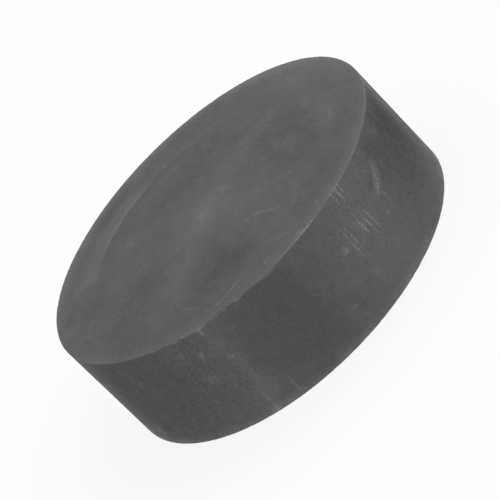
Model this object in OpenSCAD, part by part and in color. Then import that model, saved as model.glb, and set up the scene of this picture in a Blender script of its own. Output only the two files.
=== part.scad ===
/* [Disc] */
// Diameter over the turned wall
disc_d = 80; // [40:1:160]
// Height between the two flat faces
disc_h = 25; // [10:0.5:100]

/* [Edges] */
// Radius to which the edge round each face is worn
edge_r = 0.25; // [0.1:0.05:1]
// Slope of the chips in the upper edge, measured from the plane of the face
chip_slope = 45; // [30:1:60]

/* [Hidden] */
$fn = 240;
disc_r = disc_d / 2;

// Each chip is its angle on the rim from +X, the radius of its hollow and its depth below the worn edge
upper_chips = [
    [228.3, 1.8, 0.21],
    [235.7, 0.9, 0.39],
    [239, 0.5, 0.38],
    [241.5, 25, 0.20],
    [244, 3.6, 0.51],
    [258.3, 1.1, 0.29],
    [268.6, 10, 0.50],
];

// Half of the disc's section: two crossed oblongs, with a circle in each outer corner
module disc_section() {
    square([disc_r - edge_r, disc_h]);
    translate([0, edge_r])
        square([disc_r, disc_h - 2 * edge_r]);
    for (z = [edge_r, disc_h - edge_r])
        translate([disc_r - edge_r, z])
            circle(r = edge_r);
}

// A chip in the upper edge: a ball that lies outside and dips into the worn corner to the chip's depth
module upper_chip(angle, hollow_r, depth) {
    reach = edge_r - depth + hollow_r;
    rotate([0, 0, angle])
        translate([disc_r - edge_r, 0, disc_h - edge_r])
            translate([reach * cos(chip_slope), 0, reach * sin(chip_slope)])
                sphere(r = hollow_r);
}

// The block: a disc turned in one piece, with its edges worn round and the upper one chipped
module graphite_block() {
    color("dimgray")
        difference() {
            rotate_extrude()
                disc_section();
            for (chip = upper_chips)
                upper_chip(chip[0], chip[1], chip[2]);
        }
}

graphite_block();
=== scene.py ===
# %% [markdown]
# # A worn block of graphite
# The object is one solid piece: a short disc cut from round graphite bar, faced flat and turned on its
# wall. With so plain a form, the likeness rests on the worn rim, on the marks of sanding, handling and
# clamping, and on light that lets the dark grey show them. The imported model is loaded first, because
# the block takes its overall size from it.

# %% Load the frame and take its measures
import math

import bpy
import numpy as np
from mathutils import Matrix, Vector, noise


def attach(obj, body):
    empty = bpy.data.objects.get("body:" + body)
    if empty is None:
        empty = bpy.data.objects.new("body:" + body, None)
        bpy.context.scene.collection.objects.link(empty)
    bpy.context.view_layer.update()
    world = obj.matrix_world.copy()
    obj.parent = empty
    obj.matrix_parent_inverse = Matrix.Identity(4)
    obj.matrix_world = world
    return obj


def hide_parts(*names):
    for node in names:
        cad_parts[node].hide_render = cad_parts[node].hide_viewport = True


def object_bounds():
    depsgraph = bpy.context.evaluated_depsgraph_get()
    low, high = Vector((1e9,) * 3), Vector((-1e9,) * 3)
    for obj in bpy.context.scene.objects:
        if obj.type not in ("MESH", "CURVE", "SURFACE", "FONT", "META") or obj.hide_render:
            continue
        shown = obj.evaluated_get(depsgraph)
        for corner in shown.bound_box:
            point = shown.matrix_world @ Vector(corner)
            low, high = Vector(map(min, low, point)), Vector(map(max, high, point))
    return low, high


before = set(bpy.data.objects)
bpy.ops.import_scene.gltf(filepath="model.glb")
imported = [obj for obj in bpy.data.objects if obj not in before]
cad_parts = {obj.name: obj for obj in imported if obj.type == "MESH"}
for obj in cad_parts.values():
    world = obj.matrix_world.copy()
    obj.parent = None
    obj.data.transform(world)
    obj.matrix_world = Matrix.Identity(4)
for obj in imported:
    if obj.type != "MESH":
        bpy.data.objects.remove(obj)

MM = 0.001
cad_low, cad_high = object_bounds()
disc_r = min(cad_high.x, cad_high.y, -cad_low.x, -cad_low.y) / MM
disc_h = (cad_high.z - cad_low.z) / MM
print(f"disc: radius {disc_r:.2f} mm, height {disc_h:.2f} mm")

# %% [markdown]
# ## The camera
# The picture was taken from a little above the block with a long lens, and it is rolled by an eighth
# of a turn, so the disc seems to stand on its edge. Turning the object would do the same, but then it
# would no longer lie on its face in the shared frame. So the camera is rolled, and the block stays
# where it is. The camera's matrix is written straight from three directions: right, up and back.

# %% Place the camera
lens_mm = 237.8
view_rise = math.radians(25.16)
view_roll = math.radians(44.83)
view_distance = 660.4 * MM
slide_right, slide_up = 0.43 * MM, -0.50 * MM

back = Vector((0, -math.cos(view_rise), math.sin(view_rise)))
level_right = Vector((1, 0, 0))
level_up = back.cross(level_right)
right = math.cos(view_roll) * level_right - math.sin(view_roll) * level_up
up = math.sin(view_roll) * level_right + math.cos(view_roll) * level_up
middle = Vector((0, 0, disc_h / 2 * MM))
camera_spot = middle + back * view_distance + right * slide_right + up * slide_up

camera = bpy.data.objects.new("camera", bpy.data.cameras.new("camera"))
camera.data.lens = lens_mm
camera.matrix_world = Matrix.Translation(camera_spot) @ Matrix((right, up, back)).transposed().to_4x4()
bpy.context.scene.collection.objects.link(camera)
bpy.context.scene.camera = camera
bpy.context.scene.view_settings.view_transform = "Standard"
print(f"camera: {view_distance / MM:.0f} mm away, {math.degrees(view_rise):.1f} degrees up")

# %% [markdown]
# ## Small helpers for nodes
# Materials are built from nodes, and each node takes three or four lines of Python. A few helpers
# bring that down to one line that reads like a sum. Each of them adds a node, feeds its inputs with
# numbers or with other nodes' outputs, and hands back its output.

# %% Helpers that add one node each
def feed(tree, socket, value):
    """Sets a socket to a plain value, or links another node's output to it."""
    if isinstance(value, bpy.types.NodeSocket):
        tree.links.new(value, socket)
    else:
        socket.default_value = value


def add(tree, kind, fields=None, **settings):
    """Adds a node, sets its options and feeds its inputs by name."""
    node = tree.nodes.new("ShaderNode" + kind)
    for name, value in settings.items():
        setattr(node, name, value)
    for name, value in (fields or {}).items():
        feed(tree, node.inputs[name], value)
    return node


def add_sum(tree, kind, operation, values):
    """Adds a node that works out one sum, and feeds its inputs in their order."""
    node = add(tree, kind, operation=operation)
    for socket, value in zip(node.inputs, values):
        feed(tree, socket, value)
    return node


def maths(tree, operation, *values):
    """One sum on plain numbers."""
    return add_sum(tree, "Math", operation, values).outputs[0]


def vectors(tree, operation, *values):
    """One sum on vectors."""
    gives_number = operation in ("LENGTH", "DOT_PRODUCT")
    return add_sum(tree, "VectorMath", operation, values).outputs["Value" if gives_number else "Vector"]


def fade(tree, value, zero_at, one_at):
    """A soft step that is 0 at one value and 1 at the other."""
    fields = {"Value": value, "From Min": zero_at, "From Max": one_at}
    return add(tree, "MapRange", fields, interpolation_type="SMOOTHSTEP", clamp=False).outputs[0]


print("node helpers:", ", ".join(f.__name__ for f in (feed, add, maths, vectors, fade)))

# %% [markdown]
# ## The floor
# The block lies on a plain white sweep. White could be had by turning up the lamps, but that would
# bleach the graphite too. So the floor shows itself to the camera, and to reflections, as white of
# strength 1, while the light that falls on the block keeps a plain level. A part of the floor's real
# shading stays in the mix, and with it the soft shadow under the block.

# %% The white floor
floor_size = 6.0
floor_white = 0.95
shadow_share = 0.16


def sees_background(tree):
    """1 for rays from the camera, a reflection or a clear surface, 0 for light that falls on things."""
    path = add(tree, "LightPath").outputs
    direct = maths(tree, "MAXIMUM", path["Is Camera Ray"], path["Is Glossy Ray"])
    return maths(tree, "MAXIMUM", direct, path["Is Transmission Ray"])


half = floor_size / 2
corners = [(-half, -half, 0), (half, -half, 0), (half, half, 0), (-half, half, 0)]
floor_mesh = bpy.data.meshes.new("floor")
floor_mesh.from_pydata(corners, [], [(0, 1, 2, 3)])
floor = bpy.data.objects.new("floor", floor_mesh)
bpy.context.scene.collection.objects.link(floor)

floor_paint = bpy.data.materials.new("white_floor")
floor_paint.use_nodes = True
tree = floor_paint.node_tree
tree.nodes.clear()
matt = add(tree, "BsdfDiffuse", {"Color": (floor_white, floor_white, floor_white, 1)}).outputs[0]
glow = add(tree, "Emission", {"Color": (1, 1, 1, 1), "Strength": 1.0}).outputs[0]
share = maths(tree, "MULTIPLY", sees_background(tree), 1 - shadow_share)
mixed = add(tree, "MixShader", {"Fac": share})
feed(tree, mixed.inputs[1], matt)
feed(tree, mixed.inputs[2], glow)
add(tree, "OutputMaterial", {"Surface": mixed.outputs[0]})
floor_mesh.materials.append(floor_paint)
print(f"floor: {floor_size:.0f} m square")

# %% [markdown]
# ## The light
# The real block was lit softly from all round, a little more from above and from the right. An
# environment picture would give such light, but a plain world and one large soft box do it with a few
# numbers. The world, like the floor, is white to the camera and keeps its own level for the block.

# %% The room and the soft box overhead
room_light = 0.75
soft_box_size = 0.9
soft_box_watts = 3.2
soft_box_place = Vector((0.45, 0.1, 0.75))

world = bpy.data.worlds.new("studio")
bpy.context.scene.world = world
world.use_nodes = True
tree = world.node_tree
tree.nodes.clear()
level = maths(tree, "MULTIPLY_ADD", sees_background(tree), 1 - room_light, room_light)
sky = add(tree, "Background", {"Color": (1, 1, 1, 1), "Strength": level})
add(tree, "OutputWorld", {"Surface": sky.outputs[0]})

soft_box = bpy.data.objects.new("soft_box", bpy.data.lights.new("soft_box", "AREA"))
soft_box.data.size = soft_box_size
soft_box.data.energy = soft_box_watts
soft_box.location = soft_box_place
soft_box.rotation_euler = soft_box_place.to_track_quat("Z", "Y").to_euler()
bpy.context.scene.collection.objects.link(soft_box)
print(f"light: room at {room_light}, soft box of {soft_box_watts} W")

# %% [markdown]
# ## The shape of the block
# A disc like this could be a cylinder with a bevel, but a bevel is the same all round, and the rim of
# a used block isn't: it is rubbed round, a little more here than there, and broken in places. So the
# mesh is made ring by ring, as on a lathe. Rings lie close together at the two rims, where the shape
# changes, and far apart on the flats. Towards the middle of a face each ring has fewer points, so that
# the faces of the mesh stay of an even size.

# %% Angles round the disc, closer together along the broken stretch
broken_from, broken_to = 222, 276
fine_steps, plain_steps = 320, 640
fine_angles = np.linspace(broken_from, broken_to, fine_steps, endpoint=False)
plain_angles = np.linspace(broken_to, broken_from + 360, plain_steps, endpoint=False)
angles = np.radians(np.concatenate([fine_angles, plain_angles]))
fine_gap = (angles[1] - angles[0]) * disc_r
print(f"rim: {len(angles)} points, {fine_gap:.2f} mm apart where it is broken")

# %% Rings of the rims
edge_r, edge_r_sway = 0.1, 0.06
sway_rate = 3
rim_steps = np.array([0.06, 0.14, 0.24, 0.36, 0.52, 0.72, 1.0, 1.5])
arc_points = 8


def round_noise(rate, seed):
    """Smooth noise round the rim, about -1 to 1; a higher rate changes faster."""
    places = [Vector((rate * math.cos(a), rate * math.sin(a), seed)) for a in angles]
    return np.array([noise.noise(p) for p in places])


def ring(r, z, at=angles):
    """The points of one ring; its radius and height may differ from angle to angle."""
    return np.stack([r * np.cos(at), r * np.sin(at), z + 0 * at], 1)


def rim_rings(seed, on_top):
    """Rings from the face over the worn edge and on to the wall."""
    radii = edge_r + edge_r_sway * round_noise(sway_rate, seed)
    stations = [(radii + step, 0 * radii) for step in rim_steps[::-1]]
    for turn in np.linspace(0, math.pi / 2, arc_points):
        stations.append((radii * (1 - math.sin(turn)), radii * (1 - math.cos(turn))))
    stations += [(0 * radii, radii + step) for step in rim_steps]
    return [ring(disc_r - inset, disc_h - drop if on_top else drop) for inset, drop in stations]


upper_rim = rim_rings(seed=1.0, on_top=True)
lower_rim = rim_rings(seed=7.0, on_top=False)
print(f"rims: {len(upper_rim)} rings each")

# %% Rings of the two faces and the wall
wall_rows = 14
# each row: share of the disc's radius, and how many of the rim's points go to one point of this ring
face_rings = [
    (0.9, 1), (0.8, 1), (0.735, 1), (0.73, 1), (0.725, 1), (0.71, 2), (0.64, 2), (0.56, 2), (0.48, 2),
    (0.4, 2), (0.33, 4), (0.27, 4), (0.21, 4), (0.16, 8), (0.12, 8), (0.08, 16), (0.04, 16),
]


def flat_rings(z):
    """Rings of a flat face from the rim in to the middle, which is a ring of one point."""
    centre = np.array([[0, 0, z]])
    return [ring(share * disc_r, z, angles[::skip]) for share, skip in face_rings] + [centre]


wall_top, wall_foot = disc_h - 2 * rim_steps[-1], 2 * rim_steps[-1]
wall_rings = [ring(disc_r, z) for z in np.linspace(wall_top, wall_foot, wall_rows)]
rings = flat_rings(disc_h)[::-1] + upper_rim + wall_rings + lower_rim[::-1] + flat_rings(0)
print(f"section: {len(rings)} rings")

# %% [markdown]
# ## Chips in the rim
# Where a brittle edge is knocked, a shallow shell breaks away. Such a hollow could be cut with a
# Boolean modifier, but on a dense mesh that leaves ragged triangles. A gentler way is to think of each
# chip as a ball that dips into the edge: every point of the mesh that lies inside the ball is pushed
# out to its skin. The larger chips are those of the solid. Finer ones and a scatter of nicks are
# added, as any used edge has them. Each chip also says how pale it is, because a fresh break is paler
# than the skin round it.

# %% How a chip is pressed in
chip_slope = math.radians(45)
solid_edge_r = 0.25
grit_size, grit_depth = 0.35, 0.035
pale_depth = 0.03
points = np.concatenate(rings)
fresh = np.zeros(len(points))


def press_chip(angle, hollow_r, depth, paleness, on_top):
    """Pushes the points inside one ball out to its skin, with a little grit on it."""
    turn = math.radians(angle)
    reach = solid_edge_r - depth + hollow_r
    out = disc_r - solid_edge_r + reach * math.cos(chip_slope)
    rise = reach * math.sin(chip_slope)
    z = disc_h - solid_edge_r + rise if on_top else solid_edge_r - rise
    ball = np.array([out * math.cos(turn), out * math.sin(turn), z])
    away = points - ball
    distance = np.linalg.norm(away, axis=1)
    for i in np.flatnonzero(distance < hollow_r):
        grit = grit_depth * noise.noise(Vector(points[i]) / grit_size)
        bite = min(1, (hollow_r - distance[i]) / grit_depth)
        move = max(0, hollow_r - distance[i] + grit * bite)
        points[i] += away[i] / distance[i] * move
        fresh[i] = max(fresh[i], paleness * min(1, move / pale_depth))


print(f"chips: slope of {math.degrees(chip_slope):.0f} degrees, grit of {grit_depth} mm")

# %% Press the chips into the upper rim
# each row: angle on the rim, radius of the hollow, depth below the solid's worn edge, paleness
solid_chips = [
    (228.3, 1.8, 0.21, 0.35),
    (235.7, 0.9, 0.39, 0.42),
    (239, 0.5, 0.38, 0.25),
    (241.5, 25, 0.20, 0.35),
    (244, 3.6, 0.51, 0.42),
    (258.3, 1.1, 0.29, 0.36),
    (268.6, 10, 0.50, 0.3),
]
finer_chips = [
    (230, 2.5, 0.08, 0.35),
    (237.2, 1.0, 0.3, 0.4),
    (238.3, 0.8, 0.3, 0.35),
    (241, 14, 0.3, 0.35),
    (242.4, 0.9, 0.5, 0.6),
    (246.2, 0.9, 0.35, 0.42),
    (248.3, 3, 0.13, 0.3),
    (250.3, 1.2, 0.25, 0.22),
    (253.7, 0.9, 0.28, 0.18),
    (258.3, 1.6, 0.36, 0.36),
    (261, 8, 0.08, 0.28),
    (264.5, 5, 0.22, 0.28),
    (267, 1.5, 0.5, 0.3),
    (269.6, 3, 0.47, 0.44),
    (270.2, 1.2, 0.48, 0.5),
    (274.5, 30, 0.14, 0.42),
]
for chip in solid_chips + finer_chips:
    press_chip(*chip, True)
print(f"chips: {len(solid_chips)} of the solid, {len(finer_chips)} finer ones")

# %% Scatter nicks over both rims, closer together where the edge is broken
nick_lots = np.random.default_rng(5)


def press_nicks(count, angle, hollow_r, depth, paleness, on_top):
    """Presses small chips at random, each of its measures drawn from a range."""
    for _ in range(count):
        drawn = [nick_lots.uniform(*span) for span in (angle, hollow_r, depth)]
        press_chip(*drawn, paleness, on_top)


press_nicks(60, angle=(233, 248), hollow_r=(0.3, 0.8), depth=(-0.02, 0.14), paleness=0.42, on_top=True)
for rim in (True, False):
    press_nicks(120, angle=(0, 360), hollow_r=(0.4, 3), depth=(-0.05, 0.02), paleness=0.42, on_top=rim)
press_nicks(60, angle=(248, 268), hollow_r=(0.2, 0.7), depth=(-0.04, 0.16), paleness=0.25, on_top=True)
print(f"chips and nicks: {np.count_nonzero(fresh)} points pushed")

# %% [markdown]
# ## Skin the rings
# A lathe leaves one closed skin, and so does this step. Blender's own bridge tool joins two loops, but
# not with a choice of which point meets which, so the faces are written out. Two neighbouring rings
# are joined by four-sided faces. Where the next ring has half as many points, each face takes in one
# point more, and the ring round the middle is closed by a fan. The rim is split halfway round the worn
# edge: above it the mesh takes the finish of the face, below it that of the wall, whose near and far
# half have one each.

# %% Join the rings
first_of = np.cumsum([0] + [len(r) for r in rings])
ring_numbers = [np.arange(first_of[i], first_of[i + 1]) for i in range(len(rings))]
UPPER, NEAR_WALL, FAR_WALL, LOWER = range(4)


def bridge(a, b):
    """Faces between two rings of point numbers, with their outer side out."""
    m, n = len(a), len(b)
    strip = []
    for j in range(max(m, n) if min(m, n) == 1 else min(m, n)):
        if m == n:
            strip.append((a[j], b[j], b[(j + 1) % n], a[(j + 1) % m]))
        elif m == 1:
            strip.append((a[0], b[j], b[(j + 1) % n]))
        elif n == 1:
            strip.append((a[j], b[0], a[(j + 1) % m]))
        elif m < n:
            strip.append((a[j], b[2 * j], b[2 * j + 1], b[(2 * j + 2) % n], a[(j + 1) % m]))
        else:
            strip.append((a[2 * j], b[j], b[(j + 1) % n], a[(2 * j + 2) % m], a[2 * j + 1]))
    return strip


rings_above = len(face_rings) + 1 + len(rim_steps) + arc_points // 2
rings_below = len(rings) - rings_above
faces, finishes = [], []
for i in range(len(rings) - 1):
    strip = bridge(ring_numbers[i], ring_numbers[i + 1])
    faces += strip
    if i + 1 < rings_above:
        finishes += [UPPER] * len(strip)
    elif i >= rings_below:
        finishes += [LOWER] * len(strip)
    else:
        finishes += [NEAR_WALL if points[f[0]][1] < 0 else FAR_WALL for f in strip]
print(f"skin: {len(faces)} faces")

# %% Make the piece
block_mesh = bpy.data.meshes.new("worn_graphite_block")
block_mesh.from_pydata((points * MM).tolist(), [], [tuple(int(v) for v in f) for f in faces])
block_mesh.polygons.foreach_set("material_index", finishes)
block_mesh.shade_smooth()
block_mesh.update()
block = bpy.data.objects.new("worn_graphite_block", block_mesh)
bpy.context.scene.collection.objects.link(block)
triangles = sum(len(f) - 2 for f in faces)
print(f"block: {len(points)} points, {triangles} triangles")

# %% [markdown]
# ## How worn each point is
# The places that hands and benches rub most are paler and smoother. Along the edge the pale line is
# partly such wear and partly a painted highlight, where the edge catches the light. A shader could find
# them from the curvature, but the block is made ring by ring, so the script knows exactly where the
# edge lies. The amount is stored on the mesh as an attribute, and the materials read it. It is strong
# on a few stretches of the edge and in the chips, and dies away on both sides of the edge.

# %% Where the edge is rubbed, and how much; its pale line is partly a painted highlight
pale_line_width, pale_line_width_sway, least_pale_line_width = 0.13, 0.06, 0.05
plain_rub_and_highlight, pale_line_grain = 0.12, 0.1
stretch_level, stretch_grain = 0.75, 0.5
width_rate, grain_rate, stretch_rate = 9, 60, 90
# each row: middle in degrees, reach in degrees, how pale
# the bright stretches are partly a rubbed edge and partly a painted highlight where the edge catches
# the light
bright_stretches = [
    (239.5, 5, 0.6), (268, 4, 0.1), (275, 3, 0.2), (280, 6, 0.5), (285.5, 2.5, 1.0), (300, 7, 0.25),
    (313, 3, 0.25), (312, 40, 0.15), (336, 7, 0.3), (20, 30, 0.3), (110, 40, 0.3),
]


def rim_rub_and_highlight(seed):
    """Width of the pale line at each angle, and how pale it is; the line is partly rubbed, partly a
    painted highlight.
    """
    widths = np.clip(pale_line_width + pale_line_width_sway * round_noise(width_rate, seed), least_pale_line_width, None)
    pale = plain_rub_and_highlight + pale_line_grain * round_noise(grain_rate, seed + 1)
    uneven = stretch_level + stretch_grain * round_noise(stretch_rate, seed + 2)
    for angle, reach, amount in bright_stretches:
        apart = (np.degrees(angles) - angle + 180) % 360 - 180
        pale = pale + amount * np.exp(-(apart / reach) ** 2) * uneven
    return widths, np.clip(pale, 0, None)


print(f"rubbed edge: about {pale_line_width} mm wide, {len(bright_stretches)} brighter stretches")

# %% Store the wear and the painted edge highlight on the mesh
# wear holds the pale breaks of the chips and the pale edge line, which is partly a painted highlight
wear = fresh.copy()


def wear_and_highlight_rim(first_ring, seed):
    """Fills in the wear and painted highlight of one rim's rings, which lie at the same steps from the
    edge on both sides.
    """
    widths, pale = rim_rub_and_highlight(seed)
    steps = np.concatenate([rim_steps[::-1], np.zeros(arc_points), rim_steps])
    for k, step in enumerate(steps):
        numbers = ring_numbers[first_ring + k]
        wear[numbers] = np.maximum(wear[numbers], pale * np.exp(-(step / widths) ** 2))


first_upper = len(face_rings) + 1
wear_and_highlight_rim(first_upper, seed=2.0)
wear_and_highlight_rim(first_upper + len(upper_rim) + wall_rows, seed=8.0)
layer = block_mesh.attributes.new("edge_wear_and_highlight", "FLOAT", "POINT")
layer.data.foreach_set("value", wear.astype(np.float32))
print(f"edge wear and highlight: up to {wear.max():.2f}, on average {wear.mean():.3f}")

# %% [markdown]
# ## A map for the export
# The materials below are worked out from the shape and need no map, but a model that leaves Blender
# carries its colours as a picture, and that picture needs every face laid flat in it. Blender could
# unfold the mesh by itself, in many islands. A disc is laid flat in four: two round faces, and
# the wall in two strips.

# %% Lay the block flat
island_middle, island_r = 0.25, 0.24
strip_width, strip_height = 0.98, 0.195
near_strip, far_strip = 0.53, 0.76

loop_point = np.concatenate([np.array(f) for f in faces])
loop_face = np.repeat(np.arange(len(faces)), [len(f) for f in faces])
loop_finish = np.array(finishes)[loop_face]
x, y, z = points[loop_point].T
face_middles = np.array([points[list(f)].mean(0) for f in faces])
face_turn = (np.degrees(np.arctan2(face_middles[:, 1], face_middles[:, 0])) % 360)[loop_face]
turn = face_turn + (np.degrees(np.arctan2(y, x)) - face_turn + 180) % 360 - 180
is_near = face_turn >= 180

across = np.where(is_near, turn - 180, turn) / 180
strip_u = (1 - strip_width) / 2 + across * strip_width
strip_v = np.where(is_near, near_strip, far_strip) + z / disc_h * strip_height
flat_u = island_middle + x / disc_r * island_r
flat_v = island_middle + y / disc_r * island_r
u = np.where(loop_finish == UPPER, flat_u, np.where(loop_finish == LOWER, 1 - flat_u, strip_u))
v = np.where((loop_finish == UPPER) | (loop_finish == LOWER), flat_v, strip_v)
layer = block_mesh.uv_layers.new(name="OFBake")
layer.data.foreach_set("uv", np.stack([u, v], 1).astype(np.float32).ravel())
print(f"map: u from {u.min():.2f} to {u.max():.2f}, v from {v.min():.2f} to {v.max():.2f}")

# %% [markdown]
# ## Effects that the finishes share
# The two faces and the two halves of the wall are the same graphite, treated differently, so they
# share a handful of effects. Each could be copied into every material, but then a change would have to
# be made four times. A node group is built once and placed wherever it is needed, with its own values
# on its sockets. All of these effects work on one number, the tone: 1 is plain graphite, more is paler
# and less is darker.

# %% Helpers for node groups
KINDS = {"value": "NodeSocketFloat", "vector": "NodeSocketVector", "colour": "NodeSocketColor"}


def new_group(name, inputs, outputs):
    """Starts a node group, and hands it back with the sockets it takes and those it gives."""
    group = bpy.data.node_groups.new(name, "ShaderNodeTree")
    for label, kind in inputs.items():
        group.interface.new_socket(label, in_out="INPUT", socket_type=KINDS[kind])
    for label, kind in outputs.items():
        group.interface.new_socket(label, in_out="OUTPUT", socket_type=KINDS[kind])
    taken = group.nodes.new("NodeGroupInput").outputs
    given = group.nodes.new("NodeGroupOutput").inputs
    return group, taken, given


def place(tree, group, fields):
    """Places a group in a material and hands back what it gives."""
    return add(tree, "Group", fields, node_tree=group).outputs


def swing(tree, value, gain):
    """Turns noise between 0 and 1 into a swing about 0."""
    return maths(tree, "MULTIPLY", maths(tree, "SUBTRACT", value, 0.5), gain)


print("sockets of groups:", ", ".join(KINDS))

# %% [markdown]
# ### Cloud
# No handled surface is quite even: grease, dust and rubbing leave it a little paler here and darker
# there. A painted picture could show that, but a noise texture does it at any size. Its value is the
# shade. Its colour, which holds three such noises at once, is handed out too: it later shakes the
# places of the marks, so that no patch shows the plain ellipse it is made from.

# %% Cloud: the uneven tone that any handled surface has
cloud_detail, cloud_gain = 5.0, 10.0
cloud, taken, given = new_group("cloud", {"Place": "vector", "Size": "value", "Fineness": "value"},
                                {"Shade": "value", "Drift": "colour"})
size = add(cloud, "CombineXYZ", {axis: taken["Size"] for axis in "XYZ"}).outputs[0]
scaled = vectors(cloud, "DIVIDE", taken["Place"], size)
mist = add(cloud, "TexNoise", {"Vector": scaled, "Scale": 1.0, "Detail": cloud_detail,
                               "Roughness": taken["Fineness"]})
feed(cloud, given["Shade"], swing(cloud, mist.outputs[0], cloud_gain))
feed(cloud, given["Drift"], mist.outputs[1])


def shake(tree, flat, drift, reach):
    """Moves flat places by the cloud's drift, at most half the reach each way."""
    moved = vectors(tree, "MULTIPLY_ADD", drift, (reach, reach, 0), flat)
    return vectors(tree, "SUBTRACT", moved, (reach / 2, reach / 2, 0))


print("group:", cloud.name)

# %% [markdown]
# ### Grain
# Graphite is pressed from fine carbon powder, so a close look shows a speckle and, here and there, an
# open pore. Single grains would be far too many to model. Two noises stand for them: one swings paler
# and darker, and of the other only the highest peaks are kept, as pores.

# %% Grain: the fine speckle of pressed carbon, with a few open pores
speckle_look = {"Scale": 2.4, "Detail": 2.0, "Roughness": 0.8}
pore_look = {"Scale": 1.3, "Detail": 1.0, "Roughness": 0.5}
speckle_gain = 6.0
pores_from, pores_to = 0.7, 0.76
grain, taken, given = new_group("grain", {"Place": "vector"}, {"Speckle": "value", "Pores": "value"})
speckle = add(grain, "TexNoise", {"Vector": taken["Place"], **speckle_look})
holes = add(grain, "TexNoise", {"Vector": taken["Place"], **pore_look})
feed(grain, given["Speckle"], swing(grain, speckle.outputs[0], speckle_gain))
feed(grain, given["Pores"], fade(grain, holes.outputs[0], pores_from, pores_to))
print("group:", grain.name)

# %% [markdown]
# ### Hairlines
# Abrasive paper leaves short scratches that run nearly the same way. They could be strands of
# geometry, but they have no depth to speak of. A stretched noise would make them endless. Here a
# mosaic of random cells is laid over the surface, and each cell draws its own scratch: a turn, a
# length, and whether it is paler or darker.

# %% Hairlines: short scratches, one in each cell of a random mosaic
end_core, side_core = 0.3, 0.2
darkest, paleness_range = -0.5, 1.6
hairlines, taken, given = new_group(
    "hairlines", {"Flat": "vector", "Cell": "value", "Turn": "value", "Spread": "value",
                  "Length": "value", "Width": "value"}, {"Mask": "value"})
cell = add(hairlines, "CombineXYZ", {"X": taken["Cell"], "Y": taken["Cell"], "Z": 1.0}).outputs[0]
in_cells = vectors(hairlines, "DIVIDE", taken["Flat"], cell)
mosaic = add(hairlines, "TexVoronoi", {"Vector": in_cells, "Scale": 1.0}, voronoi_dimensions="2D")
drawn = add(hairlines, "SeparateColor", {"Color": mosaic.outputs["Color"]}).outputs
start = vectors(hairlines, "MULTIPLY", mosaic.outputs["Position"], cell)
sideways = maths(hairlines, "SUBTRACT", drawn[0], 0.5)
aim = maths(hairlines, "MULTIPLY_ADD", sideways, taken["Spread"], taken["Turn"])
from_start = vectors(hairlines, "SUBTRACT", taken["Flat"], start)
turn_back = maths(hairlines, "MULTIPLY", aim, -1.0)
turned = add(hairlines, "VectorRotate", {"Vector": from_start, "Angle": turn_back},
             rotation_type="Z_AXIS").outputs[0]
sides = add(hairlines, "SeparateXYZ", {"Vector": turned}).outputs
own_length = maths(hairlines, "MULTIPLY", taken["Length"], drawn[1])
along = maths(hairlines, "DIVIDE", maths(hairlines, "ABSOLUTE", sides[0]), own_length)
beside = maths(hairlines, "DIVIDE", maths(hairlines, "ABSOLUTE", sides[1]), taken["Width"])
ends = fade(hairlines, along, 1.0, end_core)
line = maths(hairlines, "MULTIPLY", ends, fade(hairlines, beside, 1.0, side_core))
paler_or_darker = maths(hairlines, "MULTIPLY_ADD", drawn[2], paleness_range, darkest)
feed(hairlines, given["Mask"], maths(hairlines, "MULTIPLY", line, paler_or_darker))
print("group:", hairlines.name)

# %% [markdown]
# ### Mark
# Rubbed spots, smears and single scratches are all the same to a painter: one dab of the brush, round
# or long, strong or faint. So one group makes them all. It measures how far a place lies from the
# dab's middle, along it and across it, and fades from full strength in the core to nothing at the
# border. The grain breaks up the strokes, as it does on the real block.

# %% Mark: one soft patch or one stroke at a chosen spot
mark, taken, given = new_group(
    "mark", {"Tone": "value", "Flat": "vector", "Speckle": "value", "Centre": "vector",
             "Along": "vector", "Across": "vector", "Strength": "value", "Core": "value",
             "Breaks": "value"}, {"Tone": "value"})
away = vectors(mark, "SUBTRACT", taken["Flat"], taken["Centre"])
local = add(mark, "CombineXYZ", {"X": vectors(mark, "DOT_PRODUCT", away, taken["Along"]),
                                 "Y": vectors(mark, "DOT_PRODUCT", away, taken["Across"])}).outputs[0]
mask = fade(mark, vectors(mark, "LENGTH", local), 1.0, taken["Core"])
broken_up = maths(mark, "MULTIPLY_ADD", taken["Speckle"], taken["Breaks"], 1.0)
mask = maths(mark, "MULTIPLY", mask, maths(mark, "MAXIMUM", broken_up, 0.0))
feed(mark, given["Tone"], maths(mark, "MULTIPLY_ADD", mask, taken["Strength"], taken["Tone"]))
print("group:", mark.name)

# %% Lists of marks
stroke_core, patch_core = 0.3, 0.0
unbroken = 0.0


def patch(x, y, length, width, turn, strength):
    """A soft patch: its middle, its reach both ways, its turn in degrees and how much paler it is."""
    return (x, y), (length, width), math.radians(turn), strength, patch_core, unbroken


def stroke(start, end, width, strength, breaks=0.5):
    """A thin stroke from one point to another, broken up by the grain."""
    run = Vector(end) - Vector(start)
    centre = (Vector(start) + Vector(end)) / 2
    turn = math.atan2(run.y, run.x)
    return tuple(centre), (run.length / 2, width / 2), turn, strength, stroke_core, breaks


def add_marks(tree, tone, flat, speckle, marks):
    """Lays marks over a tone, one after another."""
    for centre, (length, width), turn, strength, core, breaks in marks:
        along = (math.cos(turn) / length, math.sin(turn) / length, 0)
        across = (-math.sin(turn) / width, math.cos(turn) / width, 0)
        fields = {"Tone": tone, "Flat": flat, "Speckle": speckle, "Centre": (*centre, 0),
                  "Along": along, "Across": across, "Strength": strength, "Core": core,
                  "Breaks": breaks}
        tone = place(tree, mark, fields)["Tone"]
    return tone


print(f"marks: patches fade from the middle, strokes from {stroke_core} of the way")

# %% [markdown]
# ### Ring band
# Something round stood on the face and left most of a ring, sharp on its inner side and soft on the
# outer. A ring could be a picture or a bent stroke, but it is simplest as two questions about each
# place: how far beyond the ring's edge it lies, and how far it is turned from the middle of the
# stretch. With a negative fade the band runs inwards, and so it also gives the paler border of the
# face.

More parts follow.
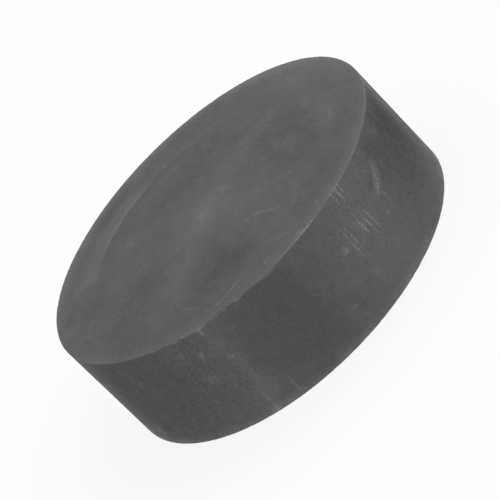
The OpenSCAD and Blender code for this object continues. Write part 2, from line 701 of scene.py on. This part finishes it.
# %% Ring band: a stretch of a ring, such as a round foot leaves behind
sharp_side = 0.04
ring_band, taken, given = new_group(
    "ring band", {"Tone": "value", "Flat": "vector", "Edge": "value", "Fade": "value", "Core": "value",
                  "Aim": "vector", "Span": "value", "Taper": "value", "Strength": "value"},
    {"Tone": "value"})
spoke = vectors(ring_band, "LENGTH", taken["Flat"])
facing = vectors(ring_band, "DOT_PRODUCT", vectors(ring_band, "NORMALIZE", taken["Flat"]), taken["Aim"])
full_span = maths(ring_band, "SUBTRACT", taken["Span"], taken["Taper"])
stretch = fade(ring_band, maths(ring_band, "ARCCOSINE", facing), taken["Span"], full_span)
beyond = maths(ring_band, "DIVIDE", maths(ring_band, "SUBTRACT", spoke, taken["Edge"]), taken["Fade"])
soft_edge = fade(ring_band, beyond, 1.0, taken["Core"])
sharp_edge = fade(ring_band, beyond, -sharp_side, sharp_side)
mask = maths(ring_band, "MULTIPLY", stretch, maths(ring_band, "MULTIPLY", soft_edge, sharp_edge))
feed(ring_band, given["Tone"], maths(ring_band, "MULTIPLY_ADD", mask, taken["Strength"], taken["Tone"]))


def add_bands(tree, tone, flat, bands):
    """Lays bands over a tone: edge, fade, core, middle, reach and taper in degrees, strength."""
    for edge, fading, core, aim, span, taper, strength in bands:
        turn = math.radians(aim)
        fields = {"Tone": tone, "Flat": flat, "Edge": edge, "Fade": fading, "Core": core,
                  "Aim": (math.cos(turn), math.sin(turn), 0), "Span": math.radians(span),
                  "Taper": math.radians(taper), "Strength": strength}
        tone = place(tree, ring_band, fields)["Tone"]
    return tone


print("group:", ring_band.name)

# %% [markdown]
# ### Edge wear and painted highlight
# The rubbed edge with its painted highlight, and the fresh breaks, are stored on the mesh already. This
# group only reads them, roughens them with the grain so that the pale line isn't drawn with a ruler,
# and adds them to the tone.

# %% Edge wear and painted highlight: reads the amount that is stored on the mesh, and breaks it up with the grain
wear_and_highlight_grain = 0.25
edge_wear_and_highlight, taken, given = new_group(
    "edge wear and highlight", {"Tone": "value", "Speckle": "value", "Strength": "value"},
    {"Tone": "value", "Wear and highlight": "value"})
stored = add(edge_wear_and_highlight, "Attribute", attribute_name="edge_wear_and_highlight").outputs["Fac"]
rough_edge = maths(edge_wear_and_highlight, "MULTIPLY_ADD", taken["Speckle"], wear_and_highlight_grain, 1.0)
# worn: the stored paleness, partly rubbed edge and partly painted highlight
worn = maths(edge_wear_and_highlight, "MULTIPLY", stored, rough_edge)
feed(edge_wear_and_highlight, given["Wear and highlight"], worn)
feed(edge_wear_and_highlight, given["Tone"], maths(edge_wear_and_highlight, "MULTIPLY_ADD", worn, taken["Strength"], taken["Tone"]))
print("group:", edge_wear_and_highlight.name)

# %% [markdown]
# ## From tone to finish
# Every finish ends in the same way: the edge wear with its painted highlight is added, the tone times
# the grey of graphite is the base colour, worn places are a little smoother, and the grain lifts the
# surface by some hundredths of a millimetre. A metal shader would also give a sheen, but this graphite
# is sanded dull, and only its edges gleam. So the shader stays a dull one with very little gloss, and
# the white room shows at grazing angles alone.

# %% The start and the end of every finish
graphite_grey = 0.1
gloss = 0.05
dull, burnished = 0.65, 0.52
gleam_from, gleam_to, wear_gleam = 0.8, 1.4, 0.3
grain_lift = 0.015 * MM


def start_finish(name):
    """A new material: its nodes, its shader and the place on the block in millimetres."""
    paint = bpy.data.materials.new(name)
    paint.use_nodes = True
    block_mesh.materials.append(paint)
    tree = paint.node_tree
    skin = tree.nodes["Principled BSDF"]
    skin.inputs["Specular IOR Level"].default_value = gloss
    spot = vectors(tree, "DIVIDE", add(tree, "TexCoord").outputs["Object"], (MM, MM, MM))
    return tree, skin, spot


def end_finish(tree, skin, tone, fine, lines):
    """Adds the edge wear with its painted highlight, and turns tone, wear, grain and scratches into
    colour, roughness and bump.
    """
    edge = place(tree, edge_wear_and_highlight, {"Tone": tone, "Speckle": fine["Speckle"], "Strength": 1.0})
    feed(tree, skin.inputs["Base Color"], maths(tree, "MULTIPLY", edge["Tone"], graphite_grey))
    shine = maths(tree, "MULTIPLY_ADD", edge["Wear and highlight"], wear_gleam, edge["Tone"])
    smooth = fade(tree, shine, gleam_from, gleam_to)
    feed(tree, skin.inputs["Roughness"], maths(tree, "MULTIPLY_ADD", smooth, burnished - dull, dull))
    lift = maths(tree, "SUBTRACT", maths(tree, "SUBTRACT", fine["Speckle"], fine["Pores"]), lines)
    bump = add(tree, "Bump", {"Height": lift, "Strength": 1.0, "Distance": grain_lift})
    feed(tree, skin.inputs["Normal"], bump.outputs[0])


print(f"graphite: grey {graphite_grey}, roughness {burnished} to {dull}")

# %% [markdown]
# ## The sanded face
# The face was rubbed flat on abrasive paper and then used as a stand for something round, which left
# most of a ring. A pale star in its middle and darker spots between its arms are painted reflection:
# the sheen that its fine turning marks throw back, laid into the colour. A noise texture alone would
# look like stone, so the marks that tell of use, and this painted reflection, are laid down one by one,
# as a painter would, on top of a cloud and a net of hairlines. Large patches are shaken by the cloud,
# while scratches and small spots stay nearly where they are put.

# %% Bands of the upper face: the ring mark and the paler border
ring_r = 28.9
border_r = disc_r + 1.5
# each row: edge and fade in millimetres, core, middle, reach and taper in degrees, strength
face_bands = [
    (ring_r, 6.5, 0.5, 130, 27, 5, 0.13),
    (ring_r, 2.6, 0, 117, 22, 11, 0.19),
    (ring_r, 8, 0, 75, 45, 35, 0.07),
    (ring_r, -3, 0, 115, 55, 30, -0.06),
    (27.6, 9, 0, -5, 30, 18, 0.11),
    (border_r, -4.5, 0, 0, 200, 10, 0.12),
    (border_r, -4.5, 0, 205, 14, 10, 0.10),
    (border_r, -4.5, 0, 252, 10, 8, -0.08),
    (disc_r + 4, -10, 0, 325, 70, 40, 0.15),
    (disc_r + 3, -13, 0, 28, 45, 35, 0.25),
    (border_r, -5.8, 0, 95, 90, 45, 0.37),
]
print(f"upper face: {len(face_bands)} bands")

# %% Patches of the upper face, in millimetres from its middle: the star and the spots between its arms, a painted reflection
face_patches_and_reflection = [
    # the pale star and, among the darker patches, the spots between its arms are painted reflection of
    # the turning marks
    patch(-2.5, -1, 14, 10, 25, 0.17),
    patch(-2, 0.5, 5, 4, 30, 0.09),
    patch(5, -6, 14, 9, -50, 0.09),
    patch(8, -15, 12, 6, -60, 0.06),
    patch(14, 8, 18, 6, 25, 0.09),
    patch(29, 15, 8, 9, 10, 0.12),
    patch(-12, -13, 13, 5, 40, 0.11),
    patch(-15, 14, 7, 5, -40, 0.08),
    patch(-6.5, 5.5, 4, 3, 30, 0.06),
    patch(-2, 24.5, 5, 3, 0, 0.07),
    patch(20.5, -4, 3, 5, 0, 0.09),
    patch(-36.5, 4.5, 2, 3, 0, 0.12),
    patch(31, -7, 4, 8, -10, 0.05),
    patch(18, 19, 9, 5, 0, 0.03),
    patch(5, -32.5, 3, 1.6, 0, 0.10),
    patch(-30, 15, 7, 5, 60, 0.06),
    patch(8.5, -37.6, 3.5, 2, 10, 0.12),
    patch(25.5, -24, 6, 4, 45, 0.08),
    patch(6.5, 8, 5, 4, 0, 0.06),
    patch(-3, 38, 4, 2, 0, 0.10),
    patch(-5, -25, 11, 8.5, 0, -0.27),
    patch(-14, -27, 9, 8, 0, -0.14),
    patch(-6, -16.5, 5, 9, -10, -0.13),
    patch(0, -30, 11, 5, 0, -0.05),
    patch(-20, -5.5, 10, 7, -20, -0.15),
    patch(-28, -12, 10, 8, 20, -0.13),
    patch(-30, -20, 8, 7, 0, -0.11),
    patch(-29, 5, 6, 9, 0, -0.08),
    patch(-2, 17, 14, 6, 0, -0.11),
    patch(10, 20.5, 13, 5, -10, -0.09),
    patch(15, 14, 7, 4, 0, -0.07),
    patch(-17, 19, 7, 4, 50, -0.06),
    patch(-7, 11, 5, 4, 0, -0.06),
    patch(18, 3, 8, 8, 0, -0.08),
    patch(24.5, -2, 5, 10, 0, -0.11),
    patch(15.5, -6, 5, 6, 0, -0.09),
    patch(22, -12, 9, 6, 0, -0.12),
    patch(15, -28, 10, 6, 30, -0.05),
    patch(21, -25, 10, 6, 45, -0.12),
    patch(31, -15, 6, 5, 45, -0.07),
    patch(-14, 33, 9, 3, 25, -0.07),
    patch(-24, -27, 9, 6, -45, -0.08),
    patch(-6, -34, 14, 4, 0, -0.06),
    patch(-36, 8, 4, 5, 0, -0.08),
    patch(12, 28, 6, 3, -20, -0.05),
    patch(-20, -17, 6, 4, 0, -0.05),
]
print(f"upper face: {len(face_patches_and_reflection)} patches")

# %% Scratches, specks and small spots of the upper face
face_strokes = [
    stroke((-13.6, -35.5), (-5.6, -34.3), 1.1, 0.24),
    stroke((-9.4, -34.9), (-2, -33.5), 0.9, 0.30),
    stroke((-12.2, -34.9), (-11.2, -35.3), 1.0, 0.26),
    stroke((-14.6, -33.6), (-13.6, -34.3), 0.8, 0.26),
    stroke((-8.9, -37), (-8.3, -38.6), 0.7, 0.20),
    stroke((-0.8, -36.6), (1.6, -36.5), 1.5, 0.26),
    stroke((3.8, -36.6), (4.6, -36.8), 0.8, 0.24),
    stroke((7.5, -37.7), (9.3, -37.3), 1.5, 0.28),
    stroke((15.2, -36.8), (15, -32.2), 0.8, 0.22),
    stroke((18, -33.8), (18.6, -33.6), 0.7, 0.20),
    stroke((22.7, -31.5), (23.5, -30.8), 0.7, 0.28),
    stroke((28.4, -25), (29.6, -23.8), 0.8, 0.16),
    stroke((4.2, -16.6), (8, -20.8), 1.7, 0.22),
    stroke((6.6, -19.6), (10.4, -24), 1.2, 0.16),
    stroke((2.4, -17.3), (4.6, -17.6), 1.3, 0.22),
    stroke((12, -11.5), (16.6, -16.4), 1.1, 0.08),
    stroke((15.4, -15.4), (17, -16.4), 1.5, 0.20),
    stroke((10.8, -28), (14.4, -23.6), 1.2, 0.12),
    stroke((15.8, -19.8), (14.6, -24.2), 0.8, 0.12),
    stroke((24.2, -18.8), (27, -22.4), 0.9, 0.16),
    stroke((30.2, -8.2), (30.8, -6.8), 1.1, 0.16),
    stroke((28.6, -11.5), (31.4, -6), 1.4, 0.14),
    stroke((-39, -3.2), (-27.5, -4.2), 0.9, 0.16),
    stroke((-34, -6.6), (-24, -8.6), 0.8, 0.14),
    stroke((-25.6, -2), (-22.8, -5.6), 0.7, 0.16),
    stroke((-22.6, 24.6), (-19.2, 27), 1.2, 0.10),
    stroke((-20.8, 28.2), (-24.4, 30.4), 0.8, 0.16),
    stroke((-18.4, -24.6), (-14, -31), 1.1, 0.18),
    stroke((-16.6, -23), (-14.6, -19), 0.7, 0.12),
    stroke((-3.8, -0.6), (-0.8, 0.1), 1.3, 0.20),
    stroke((-2.9, -1), (-3.3, -5), 0.9, 0.14),
    stroke((1.4, 14.4), (4.2, 10), 1.1, 0.14),
    stroke((3, 4.6), (7.4, -2.6), 1.0, 0.14),
    stroke((7.6, 8.6), (10, 4), 0.8, 0.14),
    stroke((4, 32), (5.4, 28.6), 0.8, 0.14),
    stroke((15.2, 9.6), (15.6, 5.4), 0.8, 0.14),
    stroke((22.4, 11.6), (20.6, 8), 0.8, 0.12),
    stroke((-18.6, 17.4), (-14.4, 11.6), 0.9, 0.12),
    stroke((-9.9, -3.8), (-9.8, -5), 1.0, 0.30),
    stroke((-0.3, 28.6), (-0.3, 30), 0.9, 0.35),
    stroke((12.1, 8.8), (12.5, 10.2), 0.9, 0.30),
    stroke((8.4, 16.2), (8.3, 18.2), 1.1, 0.24),
    stroke((19.8, 7.8), (20, 9), 0.9, 0.28),
]
face_spots = [
    patch(-24.2, 5.2, 2.6, 3.2, 10, 0.14),
    patch(-6.5, 30, 3, 2.2, 20, 0.11),
    patch(8, 22, 2.6, 2.2, 0, 0.09),
    patch(2.5, 26.5, 3, 1.8, -20, -0.10),
    patch(-12, 22.5, 3.5, 2, 30, -0.07),
    patch(0.5, -20.5, 2.4, 2.6, 0, -0.10),
    patch(2, -28.5, 3, 2.2, 0, -0.07),
    patch(-10, -27.5, 2, 2.6, 0, 0.10),
    patch(7.5, -20.5, 2.2, 2.2, 0, 0.06),
    patch(20.5, -12, 3, 2, 30, 0.09),
    patch(-10, -7.5, 2, 3, 0, -0.06),
    patch(-22, 13.5, 2.6, 2.6, 0, -0.06),
    patch(5, 8.5, 2.5, 2, 0, 0.06),
    patch(31.5, 9, 2.5, 3, 0, 0.06),
    patch(25, -2, 1.6, 3, 0, -0.06),
    patch(18, -27.5, 4.5, 1.6, 45, 0.07),
    patch(20.5, -30.5, 3, 1.8, 30, -0.06),
]
print(f"upper face: {len(face_strokes)} strokes, {len(face_spots)} spots")

# %% [markdown]
# One function lays such lists over each other, because the underside is sanded too: bands, patches,
# and then scratches and spots. The hairlines run one way on the right of the face and other ways on
# its left, as sanding by hand leaves them, so their masks are faded from one side to the other.

# %% The finish of a sanded face
face_haze_look = {"Size": 9.0, "Fineness": 0.6}
face_mottle_look, face_mottle = {"Size": 2.2, "Fineness": 0.8}, 0.048
sanding_draw = (1, 0.45, 1)
patch_shake, face_line_shake = 12, 2
blend_left, blend_right = -14.0, 10.0
hairline_spread, hairline_width = 0.5, 0.38
face_speckle, face_pores = 0.043, -0.06
# each row: turn in degrees, size of a cell, length, whether it lies on the right, strength
face_hairlines = [
    (-48, 2.0, 2.2, True, 0.10),
    (-52, 4.5, 5.0, True, 0.10),
    (-12, 4.5, 6.0, False, 0.12),
    (40, 2.2, 2.6, False, 0.09),
]


def sanded_face(name, bands, patches, strokes):
    """A flat face: cloud, bands, patches, strokes, four layers of hairlines and the worn edge."""
    tree, skin, spot = start_finish(name)
    flat = vectors(tree, "MULTIPLY", spot, (1, 1, 0))
    sanded = vectors(tree, "MULTIPLY", spot, sanding_draw)
    haze = place(tree, cloud, {"Place": spot, **face_haze_look})
    mottle = place(tree, cloud, {"Place": sanded, **face_mottle_look})
    fine = place(tree, grain, {"Place": sanded})
    shaken = shake(tree, flat, haze["Drift"], patch_shake)
    slack = shake(tree, flat, haze["Drift"], face_line_shake)
    tone = maths(tree, "MULTIPLY_ADD", mottle["Shade"], face_mottle, 1.0)
    tone = add_bands(tree, tone, slack, bands)
    tone = add_marks(tree, tone, shaken, fine["Speckle"], patches)
    tone = add_marks(tree, tone, slack, fine["Speckle"], strokes)
    sideways = add(tree, "SeparateXYZ", {"Vector": shaken}).outputs["X"]
    on_right = fade(tree, sideways, blend_left, blend_right)
    on_left = maths(tree, "SUBTRACT", 1.0, on_right)
    lines = 0.0
    for turn, cell, length, right_side, strength in face_hairlines:
        fields = {"Flat": slack, "Cell": cell, "Turn": math.radians(turn), "Length": length,
                  "Spread": hairline_spread, "Width": hairline_width}
        layer = place(tree, hairlines, fields)["Mask"]
        layer = maths(tree, "MULTIPLY", layer, on_right if right_side else on_left)
        tone = maths(tree, "MULTIPLY_ADD", layer, strength, tone)
        lines = maths(tree, "ADD", layer, lines)
    tone = maths(tree, "MULTIPLY_ADD", fine["Speckle"], face_speckle, tone)
    tone = maths(tree, "MULTIPLY_ADD", fine["Pores"], face_pores, tone)
    end_finish(tree, skin, tone, fine, lines)
    print(f"{name}: {len(tree.nodes)} nodes")


sanded_face("sanded_face", face_bands, face_patches_and_reflection, face_strokes + face_spots)

# %% [markdown]
# ## The wall
# The wall was turned and then slid in and out of holders. It carries bands of paler and darker grey
# that run its whole height, partly marks of that handling and partly painted light and shade, a comb
# of short dashes where a jaw has pressed, and a slanting smear. It is paler towards the bottom, a
# painted bounce of light from the white floor, and its foot is paler still. The places of these marks
# are easiest to give on the wall laid flat: millimetres round it, and height. The angle comes from an
# arctangent, which jumps by a whole turn somewhere. So the wall has two finishes, the near half, which
# faces the camera, and the far half. Each is counted from its own middle, and its jump then lies in the
# other half. The cloud and the grain are worked out in the solid, so they pass from one half to the
# other without a seam.

# %% Patches of the near half, partly painted light and shade: millimetres round the wall from its middle, and height
near_patches_and_painted_shading = [
    # the tall bands are partly handling marks and partly painted light and shade round the wall
    patch(-55, 15, 9, 34, 0, -0.04),
    patch(-58, 15.5, 3, 4, 0, 0.25),
    patch(-47.5, 15, 9, 30, 0, -0.19),
    patch(-38, 16, 16, 26, 0, -0.16),
    patch(-31, 17, 8, 11, 0, -0.08),
    patch(-42, 20, 4, 7, 0, -0.06),
    patch(-26.8, 15.5, 4, 4.5, 0, -0.12),
    patch(-39, 22, 10, 6, 0, -0.07),
    patch(-19, 4, 18, 5, 0, 0.09),
    patch(-18, 12, 5, 34, 0, 0.09),
    patch(-18.2, 24, 1.4, 3, 0, 0.12),
    patch(-18, 0.6, 2.6, 2.2, 0, 0.28),
    patch(-12.3, 0.4, 1.6, 1.6, 0, 0.22),
    patch(-17, 9, 2.6, 12, 0, 0.10),
    patch(-12.5, 13, 3, 11, 0, -0.04),
    patch(-24, 19.5, 6, 2.5, 10, 0.05),
    patch(-49.8, 4.4, 1.8, 2.4, 0, 0.32),
    patch(-4, 15, 13, 34, 0, -0.18),
    patch(-3.5, 11.5, 3, 4, 0, 0.06),
    patch(4, 14, 7, 34, 0, -0.04),
    patch(16, 15, 9, 12, 0, 0.09),
    patch(21, 12, 10, 34, 0, 0.14),
    patch(22, 24, 10, 4, 0, 0.08),
    patch(28, 17, 7, 10, 0, 0.06),
    patch(40, 15, 15, 20, 0, -0.24),
    patch(45, 20, 9, 12, 0, -0.20),
    patch(46.5, 21, 5, 8, 0, -0.10),
    patch(48, 11, 7, 10, 0, -0.17),
    patch(37.5, 18, 3, 7, 0, -0.07),
    patch(51, 9, 3, 6, 0, -0.08),
    patch(55, 13, 8, 34, 0, -0.02),
    patch(53.5, 24.5, 3, 4, 0, 0.2),
    patch(53, 19.5, 4.5, 9, 0, 0.08),
    patch(46, 16.5, 4, 6, 0, -0.07),
    patch(34, 22.5, 5, 4, 0, -0.12),
    patch(33, 13.5, 4.5, 4, 0, -0.08),
    patch(38.3, 22.5, 1.8, 3.4, 0, 0.12),
]
print(f"near wall: {len(near_patches_and_painted_shading)} patches")

# %% Dashes, smears, trails and small spots of the near half
near_strokes = [
    stroke((25.8, 15), (32.2, 19.8), 3.0, 0.26, 0.5),
    stroke((25.8, 15.4), (30, 17.4), 1.3, 0.22, 0.6),
    stroke((29.2, 17.4), (32.4, 21.6), 2.2, 0.22, 0.8),
    stroke((24.4, 17), (30.4, 19.8), 1.5, -0.23, 0.1),
    stroke((13.2, 14.2), (13.2, 16.8), 1.9, 0.36, 1.0),
    stroke((15, 9.6), (15, 20), 0.75, 0.40, 1.0),
    stroke((15.95, 11), (15.9, 20), 0.75, 0.36, 1.0),
    stroke((19.2, 12), (19.1, 20.2), 0.9, 0.44, 1.0),
    stroke((20.6, 10.8), (20.5, 19.4), 0.75, 0.46, 1.0),
    stroke((21.8, 10), (21.8, 19), 0.8, 0.46, 1.0),
    stroke((18.8, 20.6), (18.8, 27.6), 0.75, 0.52, 1.2),
    stroke((20.2, 20.6), (20.2, 27.6), 0.75, 0.56, 1.2),
    stroke((21.3, 21), (21.3, 27.6), 0.7, 0.48, 1.2),
    stroke((14.6, 2), (14.9, 9.6), 1.2, 0.05, 1.0),
    stroke((25.5, 11.2), (25.2, 12.8), 0.9, 0.34, 1.0),
    stroke((28, 17.4), (28.2, 10.8), 0.6, 0.38, 0.4),
    stroke((31.1, 17.6), (31.4, 13.8), 0.5, 0.20, 0.4),
    stroke((29.6, 14.8), (32.8, 18), 1.5, -0.12, 0.2),
    stroke((34.3, 16), (34.4, 7), 1.0, 0.14, 1.4),
    stroke((32.5, 8.6), (33.3, 8.2), 0.8, 0.24, 0.5),
    stroke((28, 20), (27.8, 24.4), 1.2, 0.10, 1.0),
    stroke((43, 20), (43, 28), 0.9, 0.22, 0.6),
    stroke((45.4, 20.6), (45.4, 28), 1.1, 0.20, 0.6),
    stroke((41.8, 18), (41.8, 28), 1.6, -0.12, 0.3),
    stroke((-18.4, -3), (-18, 7.6), 1.3, 0.18, 1.8),
    stroke((-18.3, 22), (-18.4, 26), 1.6, 0.30, 1.2),
    stroke((-12.3, -2), (-12.2, 7.5), 0.9, 0.26, 0.8),
    stroke((-16.4, 4.4), (-13.6, 3.7), 0.9, 0.14, 0.6),
    stroke((-3.6, 3.2), (1.2, 2.1), 0.8, 0.18, 0.5),
    stroke((-6.9, 15.4), (-6.4, 16.6), 0.8, 0.24, 0.8),
    stroke((8.6, 10.4), (12.8, 7.6), 0.9, 0.14, 0.8),
    stroke((1.2, 15.3), (3.9, 13.5), 0.8, 0.14, 0.8),
    stroke((5.4, 7), (8.4, 5.7), 0.9, 0.26, 0.8),
    stroke((5.6, 3.9), (9, 2.7), 0.9, 0.16, 0.8),
    stroke((-25.5, 20), (-25.3, 22.2), 1.0, 0.26, 0.8),
    stroke((-20.3, 17.4), (-20.1, 19.4), 0.9, 0.24, 0.8),
    stroke((-17.9, 22), (-18.1, 24), 0.7, 0.26, 1.2),
    stroke((-16.9, 22.6), (-17.1, 24.4), 0.6, 0.22, 1.2),
    stroke((-22, 18.1), (-21.9, 20.6), 1.0, 0.34, 0.8),
    stroke((-17, 14.8), (-17.4, 17), 1.3, 0.30, 0.9),
    stroke((-39.6, 18.1), (-38.4, 18.8), 0.7, 0.36, 0.5),
    stroke((-43.2, 16.2), (-41.8, 16.8), 0.6, 0.36, 0.5),
    stroke((-49.2, 16.4), (-47.6, 17), 0.6, 0.32, 0.5),
    stroke((-27.6, 8.8), (-26.2, 8.2), 0.9, 0.24, 0.5),
    stroke((-36.2, 6.2), (-34.8, 6.8), 0.9, 0.24, 0.5),
    stroke((-33, 13.8), (-31.2, 15.8), 0.6, 0.16, 0.5),
    stroke((-48, 0.3), (20, 0.3), 1.4, 0.16, 0.4),
    stroke((14, 0.8), (60, 0.8), 2.2, -0.10, 0.1),
]
near_spots = [
    patch(-23.6, 13.3, 2.6, 2.2, 0, 0.18),
    patch(-22.4, 18.6, 2.4, 2.2, 0, 0.10),
    patch(-26.2, 15.8, 2, 1.6, 0, -0.06),
    patch(-14, 7.5, 1.8, 1.8, 0, -0.07),
    patch(11, 3.4, 2.5, 2, 0, 0.07),
    patch(1, 13.5, 1.8, 2.2, 0, 0.07),
    patch(19.6, 14.4, 1.6, 1.6, 0, -0.08),
    patch(33, 19.4, 1.4, 2, 0, -0.08),
    patch(30.4, 24, 1.5, 1.6, 0, 0.14),
    patch(33.4, 14, 2, 2.4, 0, 0.07),
    patch(42, 6, 5, 3.5, 0, -0.06),
    patch(54.5, 5.5, 2.4, 5, 0, 0.12),
]
print(f"near wall: {len(near_strokes)} strokes, {len(near_spots)} small spots")

# %% Spots of the near half where the grain is coarser
near_rough_spots = [
    patch(-23, 14, 15, 30, 0, 0.75),
    patch(-36, 4, 14, 14, 0, 0.35),
    patch(-40, 21, 14, 10, 0, 0.25),
    patch(19, 16, 12, 13, 0, 0.8),
    patch(30, 17, 7, 12, 0, 0.8),
    patch(43, 19, 13, 15, 0, 0.6),
    patch(27.5, 21.5, 4, 4, 0, 0.6),
]
print(f"near wall: {len(near_rough_spots)} rough spots")

# %% [markdown]
# The far half isn't in the picture. Leaving it plain would make the block look new from behind, and a
# copy of the near half would show. So its marks are of the same kinds, drawn by lot from a seeded
# generator, which gives the same marks each time.

# %% Marks of the far half, by lot
lots = np.random.default_rng(11)
far_span, far_heights = (-46, 46), (5, 20)
streak_count, streak_widths, streak_height, streak_tones = 12, (3, 14), 26, (-0.2, 0.15)
rough_count, rough_width, rough_height, rough_strength = 4, 14, 16, 0.5
comb_count, comb_span, comb_heights = 5, (-55, 50), (6, 20)
comb_teeth, comb_pitch = 4, 1.3
tooth_halves, tooth_width, tooth_tone, tooth_breaks = (1.5, 4), 0.8, 0.2, 1.0

far_patches, far_strokes, far_rough_spots = [], [], []
for _ in range(streak_count):
    s, z = lots.uniform(*far_span), lots.uniform(*far_heights)
    width, tone = lots.uniform(*streak_widths), lots.uniform(*streak_tones)
    far_patches.append(patch(s, z, width, streak_height, 0, tone))
for _ in range(rough_count):
    s, z = lots.uniform(*far_span), lots.uniform(*far_heights)
    far_rough_spots.append(patch(s, z, rough_width, rough_height, 0, rough_strength))
for _ in range(comb_count):
    first, z = lots.uniform(*comb_span), lots.uniform(*comb_heights)
    for k in range(comb_teeth):
        s = first + comb_pitch * k
        reach = lots.uniform(*tooth_halves)
        ends = (s, z - reach), (s, z + reach)
        far_strokes.append(stroke(*ends, tooth_width, tooth_tone, tooth_breaks))
print(f"far wall: {len(far_patches)} patches, {len(far_strokes)} strokes")

# %% The finish of the wall
wall_tone = 1.05
wall_haze_look, wall_haze = {"Size": 7.0, "Fineness": 0.6}, 0.025
wall_mottle_look, wall_mottle = {"Size": 2.5, "Fineness": 0.7}, 0.045
axis_draw = (1, 1, 0.5)
wall_line_shake = 1
# painted bounce: the wall grows paler below this height, standing in for light thrown up by the white
# floor
bounce_from, bounce_full, bounce_paleness = 11.0, 1.0, 0.12
foot_height, foot_mottle, foot_paleness = 2.6, 0.3, 0.42
wall_hairlines = {"Cell": 3.0, "Turn": 0.8, "Spread": 2.5, "Length": 1.8, "Width": 0.2}
hairline_paleness = 0.08
plain_coarseness, wall_speckle, wall_pores = 0.5, 0.2, -0.08


def turned_wall(name, side, patches, strokes, rough_spots):
    """Half of the round wall, near for side -1 and far for 1: cloud, marks, painted floor bounce, foot
    and grain.
    """
    tree, skin, spot = start_finish(name)
    axes = add(tree, "SeparateXYZ", {"Vector": spot}).outputs
    sideways = maths(tree, "MULTIPLY", axes["X"], -side)
    outwards = maths(tree, "MULTIPLY", axes["Y"], side)
    round_it = maths(tree, "MULTIPLY", maths(tree, "ARCTAN2", sideways, outwards), disc_r)
    flat = add(tree, "CombineXYZ", {"X": round_it, "Y": axes["Z"]}).outputs[0]
    drawn_out = vectors(tree, "MULTIPLY", spot, axis_draw)
    haze = place(tree, cloud, {"Place": drawn_out, **wall_haze_look})
    mottle = place(tree, cloud, {"Place": spot, **wall_mottle_look})
    fine = place(tree, grain, {"Place": spot})
    shaken = shake(tree, flat, haze["Drift"], patch_shake)
    slack = shake(tree, flat, haze["Drift"], wall_line_shake)
    tone = maths(tree, "MULTIPLY_ADD", haze["Shade"], wall_haze, wall_tone)
    tone = maths(tree, "MULTIPLY_ADD", mottle["Shade"], wall_mottle, tone)
    tone = add_marks(tree, tone, shaken, fine["Speckle"], patches)
    tone = add_marks(tree, tone, slack, fine["Speckle"], strokes)
    # painted bounce of light from the floor: the lower wall is made paler
    painted_floor_bounce = fade(tree, axes["Z"], bounce_from, bounce_full)
    tone = maths(tree, "MULTIPLY_ADD", painted_floor_bounce, bounce_paleness, tone)
    uneven = maths(tree, "MULTIPLY_ADD", mottle["Shade"], foot_mottle, 1.0)
    foot = maths(tree, "MULTIPLY", fade(tree, axes["Z"], foot_height, 0.0), uneven)
    tone = maths(tree, "MULTIPLY_ADD", foot, foot_paleness, tone)
    lines = place(tree, hairlines, {"Flat": slack, **wall_hairlines})["Mask"]
    tone = maths(tree, "MULTIPLY_ADD", lines, hairline_paleness, tone)
    coarseness = add_marks(tree, plain_coarseness, shaken, 0.0, rough_spots)
    rough_grain = maths(tree, "MULTIPLY", fine["Speckle"], coarseness)
    tone = maths(tree, "MULTIPLY_ADD", rough_grain, wall_speckle, tone)
    tone = maths(tree, "MULTIPLY_ADD", fine["Pores"], wall_pores, tone)
    end_finish(tree, skin, tone, fine, lines)
    print(f"{name}: {len(tree.nodes)} nodes")


turned_wall("near_wall", -1, near_patches_and_painted_shading, near_strokes + near_spots, near_rough_spots)
turned_wall("far_wall", 1, far_patches, far_strokes, far_rough_spots)

# %% [markdown]
# ## The underside
# Nobody sees it in the picture, but the block can be turned over. It could share the finish of the
# upper face, but then both would carry the very same marks. So it is the same kind of sanded face with
# marks of its own, drawn by lot: rubbed patches, a piece of a ring and scratches from the bench.

# %% The finish of the lower face
# each row: edge and fade in millimetres, core, middle, reach and taper in degrees, strength
under_bands = [
    (31, 6, 0, 220, 70, 35, 0.09),
    (31, -8, 0, 200, 60, 30, -0.06),
    (border_r, -4.5, 0, 0, 200, 10, 0.3),
]
rubbed_count, rubbed_reach = 16, 28
rubbed_lengths, rubbed_widths, rubbed_turns, rubbed_tones = (5, 18), (4, 10), (-60, 60), (-0.14, 0.12)
scratch_count, scratch_reach, scratch_run = 14, 26, 7
scratch_width, scratch_tones = 0.6, (0.06, 0.2)

under_patches, under_strokes = [], []
for _ in range(rubbed_count):
    x, y = lots.uniform(-rubbed_reach, rubbed_reach, 2)
    length, width = lots.uniform(*rubbed_lengths), lots.uniform(*rubbed_widths)
    turn, tone = lots.uniform(*rubbed_turns), lots.uniform(*rubbed_tones)
    under_patches.append(patch(x, y, length, width, turn, tone))
for _ in range(scratch_count):
    start = Vector(lots.uniform(-scratch_reach, scratch_reach, 2))
    run = Vector(lots.uniform(-scratch_run, scratch_run, 2))
    under_strokes.append(stroke(start, start + run, scratch_width, lots.uniform(*scratch_tones)))
sanded_face("resting_face", under_bands, under_patches, under_strokes)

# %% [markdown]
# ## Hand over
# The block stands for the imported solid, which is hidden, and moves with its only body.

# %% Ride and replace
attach(block, "root")
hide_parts("graphite_block")
